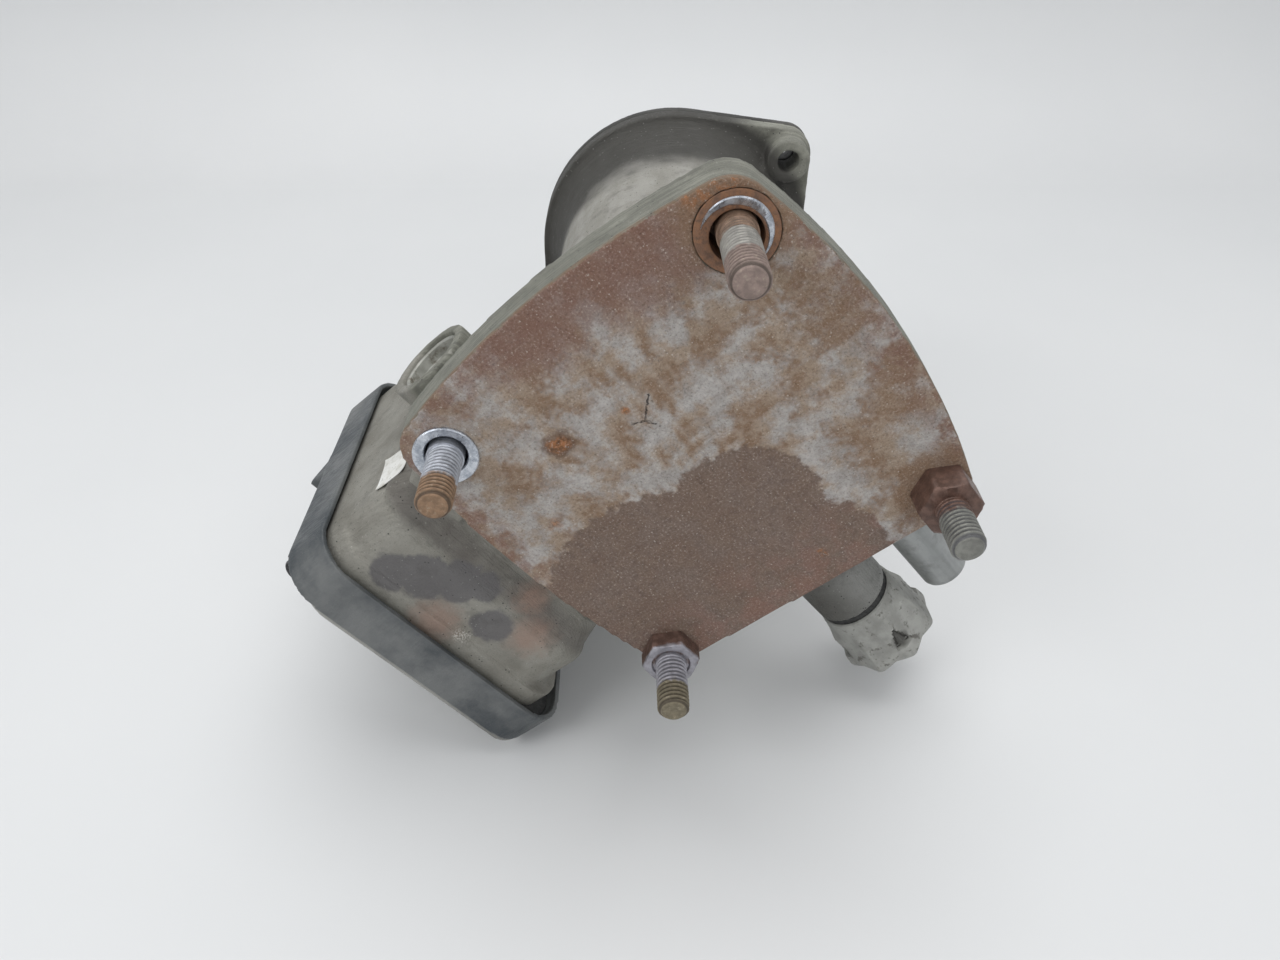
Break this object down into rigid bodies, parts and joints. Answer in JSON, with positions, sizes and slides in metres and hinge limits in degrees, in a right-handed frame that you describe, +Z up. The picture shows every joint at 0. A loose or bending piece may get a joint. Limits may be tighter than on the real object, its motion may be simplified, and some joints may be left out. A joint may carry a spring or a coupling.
{
  "type": "flange-mounted electric pump unit",
  "caption": "Electric pump unit with a square four-stud flange, round motor can, side controller box, round connector, hose tube and capped port.",
  "frame": {"origin": "centre of the square of four studs, in the plane of the flange's mounting face, on the shaft axis", "axes": "-Y out of the mounting face along the studs, +Y along the shaft to the rear cover; +Z up as the loose unit lies on its controller cover and connector, which turns the flange 39.5 degrees about Y"},
  "size_m": [0.1903, 0.1711, 0.1692],
  "materials": {
    "cast_aluminium": "weathered casting",
    "machined_aluminium": "machined",
    "plate_aluminium": "dull sheet",
    "rusty_stud_steel": "rusted",
    "zinc_bolt_steel": "zinc plated, worn",
    "cap_steel": "dull",
    "tube_steel": "satin",
    "bearing_steel": "ground",
    "spring_steel": "drawn",
    "sintered_steel": "sintered",
    "black_screw_steel": "blackened",
    "lamination_steel": "stacked sheet",
    "black_rubber": "moulded",
    "brass_cage": "pressed",
    "copper_winding": "enamelled copper wire",
    "magnet_grey": "coated",
    "dark_cast_cover": "dark and dirty",
    "black_cover_plastic": "scuffed",
    "board_green": "solder mask",
    "chip_black": "moulded",
    "capacitor_sleeve": "sleeved can",
    "lead_insulation": "insulated wire",
    "label_white": "blank paper label",
    "connector_plastic": "moulded",
    "pin_brass": "plated",
    "coupling_plastic": "faded and dusty"
  },
  "bodies": {
    "housing": {"housing": "cast_aluminium", "collar_studs": "rusty_stud_steel", "through_bolts": "zinc_bolt_steel", "bolt_sleeves": "zinc_bolt_steel", "port_cap": "cap_steel", "outlet_tube": "tube_steel", "relief_plug": "zinc_bolt_steel", "relief_spring": "spring_steel", "pump_ring": "machined_aluminium", "bearing_plate": "machined_aluminium", "pump_screws": "black_screw_steel", "shaft_seal": "black_rubber", "bearing_outer_rings": "bearing_steel", "stator_core": "lamination_steel", "stator_coils": "copper_winding", "rear_cover": "dark_cast_cover", "rear_cover_seal": "black_rubber", "rear_cover_screws": "black_screw_steel", "controller_cover": "black_cover_plastic", "cover_frame": "black_rubber", "outer_plate": "plate_aluminium", "cover_screws": "black_screw_steel", "circuit_board": "board_green", "board_screws": "black_screw_steel", "board_chips": "chip_black", "board_capacitors": "capacitor_sleeve", "phase_leads": "lead_insulation", "signal_leads": "lead_insulation", "label": "label_white", "connector_shell": "connector_plastic", "connector_pins": "pin_brass", "connector_seal": "black_rubber"},
    "rotor": {"shaft": "bearing_steel", "drive_key": "bearing_steel", "inner_rotor": "sintered_steel", "rotor_core": "lamination_steel", "rotor_magnets": "magnet_grey", "sensor_magnet": "magnet_grey", "bearing_inner_rings": "bearing_steel"},
    "outer_rotor": {"outer_rotor": "sintered_steel"},
    "ball_sets": {"bearing_balls": "bearing_steel", "bearing_cages": "brass_cage"},
    "relief_poppet": {"relief_poppet": "bearing_steel"},
    "coupling_ring": {"coupling_ring": "coupling_plastic"}
  },
  "joints": [
    {"name": "rotor_spin", "type": "hinge", "parent": "housing", "child": "rotor", "pos_m": [0, 0.08, 0], "axis": [0, 1, 0], "continuous": true},
    {"name": "outer_rotor_spin", "type": "hinge", "parent": "housing", "child": "outer_rotor", "pos_m": [0.00139, 0.057, 0.00114], "axis": [0, 1, 0], "continuous": true},
    {"name": "ball_spin", "type": "hinge", "parent": "housing", "child": "ball_sets", "pos_m": [0, 0.08, 0], "axis": [0, 1, 0], "continuous": true},
    {"name": "relief_lift", "type": "slide", "parent": "housing", "child": "relief_poppet", "axis": [-0.6361, 0, 0.7716], "range_m": [0, 0.005], "stiffness_N_per_m": 1500, "springref_m": -0.004, "deforming": ["relief_spring"]},
    {"name": "coupling_turn", "type": "hinge", "parent": "housing", "child": "coupling_ring", "pos_m": [0.0572, 0.036, -0.07726], "axis": [0.6361, 0, -0.7716], "range_deg": [0, 45]}
  ],
  "couplings": [
    {"joint": "outer_rotor_spin", "follows": "rotor_spin", "ratio": 0.85714},
    {"joint": "ball_spin", "follows": "rotor_spin", "ratio": 0.37}
  ]
}
